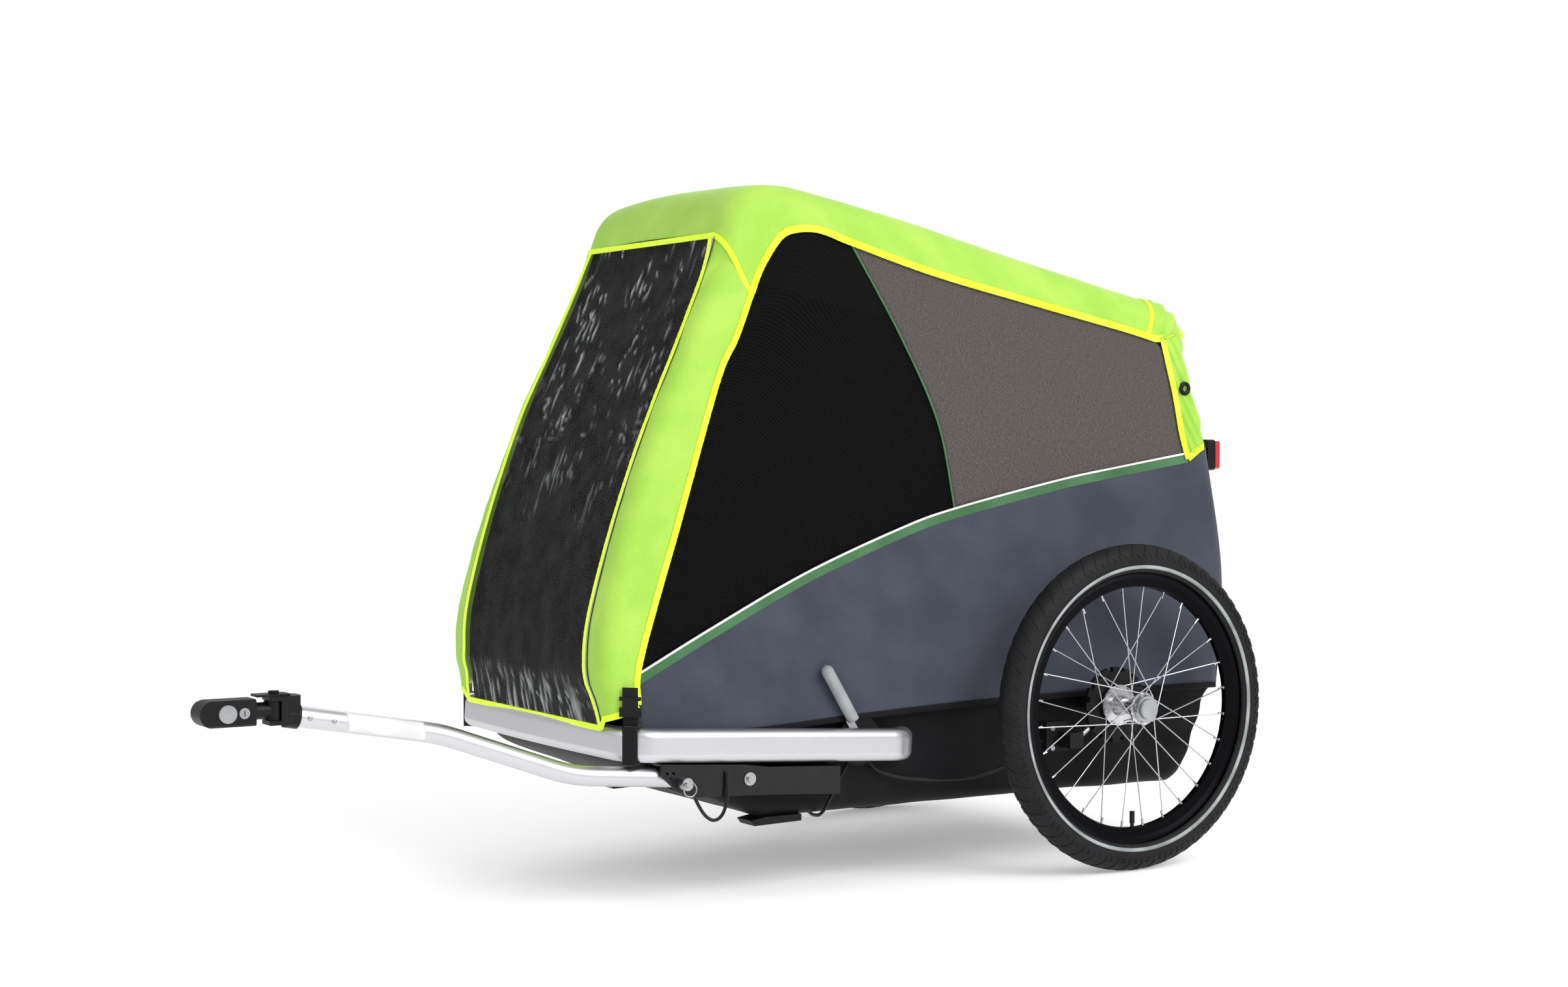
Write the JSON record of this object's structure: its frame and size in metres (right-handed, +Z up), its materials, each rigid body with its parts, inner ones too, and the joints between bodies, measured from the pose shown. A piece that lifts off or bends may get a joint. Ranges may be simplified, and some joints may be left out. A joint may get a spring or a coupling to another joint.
{
  "type": "bicycle trailer",
  "caption": "Two-wheeled bicycle trailer with a folding fabric cabin, clear front window, side drawbar with swivel hitch, bumper and parking brake.",
  "frame": {"origin": "middle of the footprint on the ground, under the centre of the whole object", "axes": "-X is the way it travels (hitch end), +X rear, -Y the left side with the drawbar, +Z up"},
  "size_m": [1.721, 0.812, 1.035],
  "materials": {
    "neon_fabric": "woven, coated, fluorescent",
    "grey_fabric": "woven slate",
    "black_fabric": "woven black",
    "anodised": "satin anodised",
    "hub_alloy": "polished",
    "black_alloy": "black anodised",
    "black_steel": "powder coated",
    "steel": "zinc plated",
    "spoke_steel": "drawn stainless",
    "tyre_rubber": "matt",
    "tube_rubber": "matt",
    "black_plastic": "moulded",
    "grey_plastic": "moulded grey",
    "red_lens": "moulded red",
    "webbing": "woven webbing",
    "floor_board": "sheet"
  },
  "bodies": {
    "frame": {"axle_left": "steel", "axle_right": "steel", "axle_socket_left": "black_steel", "axle_socket_right": "black_steel", "base_frame": "anodised", "bolts": "steel", "brake_cable_left": "black_plastic", "brake_cable_right": "black_plastic", "brake_drum": "black_plastic", "brake_housing_left": "black_plastic", "brake_housing_right": "black_plastic", "bumper": "anodised", "corner_buckles": "black_plastic", "corner_guards": "black_plastic", "corner_straps": "webbing", "drawbar": "anodised", "drawbar_bracket": "black_steel", "floor_panel": "floor_board", "front_hinge_pins": "steel", "front_hinge_plates": "black_steel", "hitch_collar": "black_plastic", "lower_tub": "black_fabric", "pin_lanyard": "webbing", "rear_hinge_pins": "steel", "rear_lower_panel": "grey_fabric", "roof_panel": "neon_fabric", "side_wall_left": "grey_fabric", "side_wall_right": "grey_fabric"},
    "wheel_left": {"tyre_left": "tyre_rubber", "inner_tube_left": "tube_rubber", "rim_left": "black_alloy", "hub_left": "hub_alloy", "spokes_left": "spoke_steel", "hub_bearings_left": "steel", "brake_disc_left": "black_plastic"},
    "wheel_right": {"tyre_right": "tyre_rubber", "inner_tube_right": "tube_rubber", "rim_right": "black_alloy", "hub_right": "hub_alloy", "spokes_right": "spoke_steel", "hub_bearings_right": "steel", "brake_disc_right": "black_plastic"},
    "button_left": {"release_button_left": "grey_plastic"},
    "button_right": {"release_button_right": "grey_plastic"},
    "front_hoop": {"front_hoop": "anodised", "front_panel": "neon_fabric"},
    "rear_hoop": {"rear_hoop": "anodised", "rear_panel": "neon_fabric", "rear_lamp_housing": "black_plastic", "rear_lamp_lens": "red_lens"},
    "brake_lever": {"brake_lever_blade": "steel", "brake_lever_grip": "grey_plastic"},
    "brake_bolt_left": {"brake_bolt_left": "steel"},
    "brake_bolt_right": {"brake_bolt_right": "steel"},
    "lock_pin": {"lock_pin": "steel"},
    "hitch_swivel": {"hitch_neck": "black_plastic"},
    "hitch_head": {"hitch_head": "black_plastic"},
    "hitch_button": {"hitch_button": "grey_plastic"},
    "hitch_key": {"hitch_key": "steel"}
  },
  "joints": [
    {"name": "wheel_left_spin", "type": "hinge", "parent": "frame", "child": "wheel_left", "pos_m": [0.5745, -0.365, 0.25], "axis": [0, 1, 0], "continuous": true},
    {"name": "wheel_right_spin", "type": "hinge", "parent": "frame", "child": "wheel_right", "pos_m": [0.5745, 0.365, 0.25], "axis": [0, 1, 0], "continuous": true},
    {"name": "button_left_push", "type": "slide", "parent": "frame", "child": "button_left", "axis": [0, 1, 0], "range_m": [0, 0.002], "stiffness_N_per_m": 900},
    {"name": "button_right_push", "type": "slide", "parent": "frame", "child": "button_right", "axis": [0, -1, 0], "range_m": [0, 0.002], "stiffness_N_per_m": 900},
    {"name": "fold", "type": "hinge", "parent": "frame", "child": "front_hoop", "pos_m": [-0.2155, 0, 0.285], "axis": [0, 1, 0], "range_deg": [0, 77], "deforming": ["side_wall_left", "side_wall_right", "roof_panel"]},
    {"name": "rear_fold", "type": "hinge", "parent": "frame", "child": "rear_hoop", "pos_m": [0.8095, 0, 0.4], "axis": [0, 1, 0], "range_deg": [-79.9, 0]},
    {"name": "brake_lever_swing", "type": "hinge", "parent": "frame", "child": "brake_lever", "pos_m": [0.1465, -0.256, 0.215], "axis": [0, 1, 0], "range_deg": [0, 62]},
    {"name": "brake_bolt_left_slide", "type": "slide", "parent": "frame", "child": "brake_bolt_left", "axis": [0.8321, 0, 0.5547], "range_m": [0, 0.0076]},
    {"name": "brake_bolt_right_slide", "type": "slide", "parent": "frame", "child": "brake_bolt_right", "axis": [0.8321, 0, 0.5547], "range_m": [0, 0.0076]},
    {"name": "lock_pin_pull", "type": "slide", "parent": "frame", "child": "lock_pin", "axis": [0, -1, 0], "range_m": [0, 0.035]},
    {"name": "hitch_swing", "type": "hinge", "parent": "frame", "child": "hitch_swivel", "pos_m": [-0.7575, -0.262, 0.314], "axis": [0, 0, 1], "range_deg": [-35, 35]},
    {"name": "hitch_roll", "type": "hinge", "parent": "hitch_swivel", "child": "hitch_head", "pos_m": [-0.7865, -0.262, 0.314], "axis": [1, 0, 0], "range_deg": [-60, 60]},
    {"name": "hitch_button_push", "type": "slide", "parent": "hitch_head", "child": "hitch_button", "axis": [0, 1, 0], "range_m": [0, 0.004], "stiffness_N_per_m": 600},
    {"name": "hitch_key_turn", "type": "hinge", "parent": "hitch_head", "child": "hitch_key", "pos_m": [-0.8025, -0.281, 0.314], "axis": [0, 1, 0], "range_deg": [0, 90]}
  ],
  "couplings": [
    {"joint": "rear_fold", "follows": "fold", "ratio": -1.0364},
    {"joint": "brake_bolt_left_slide", "follows": "brake_lever_swing", "m_per_rad": 0.0069309},
    {"joint": "brake_bolt_right_slide", "follows": "brake_lever_swing", "m_per_rad": 0.0069309}
  ]
}
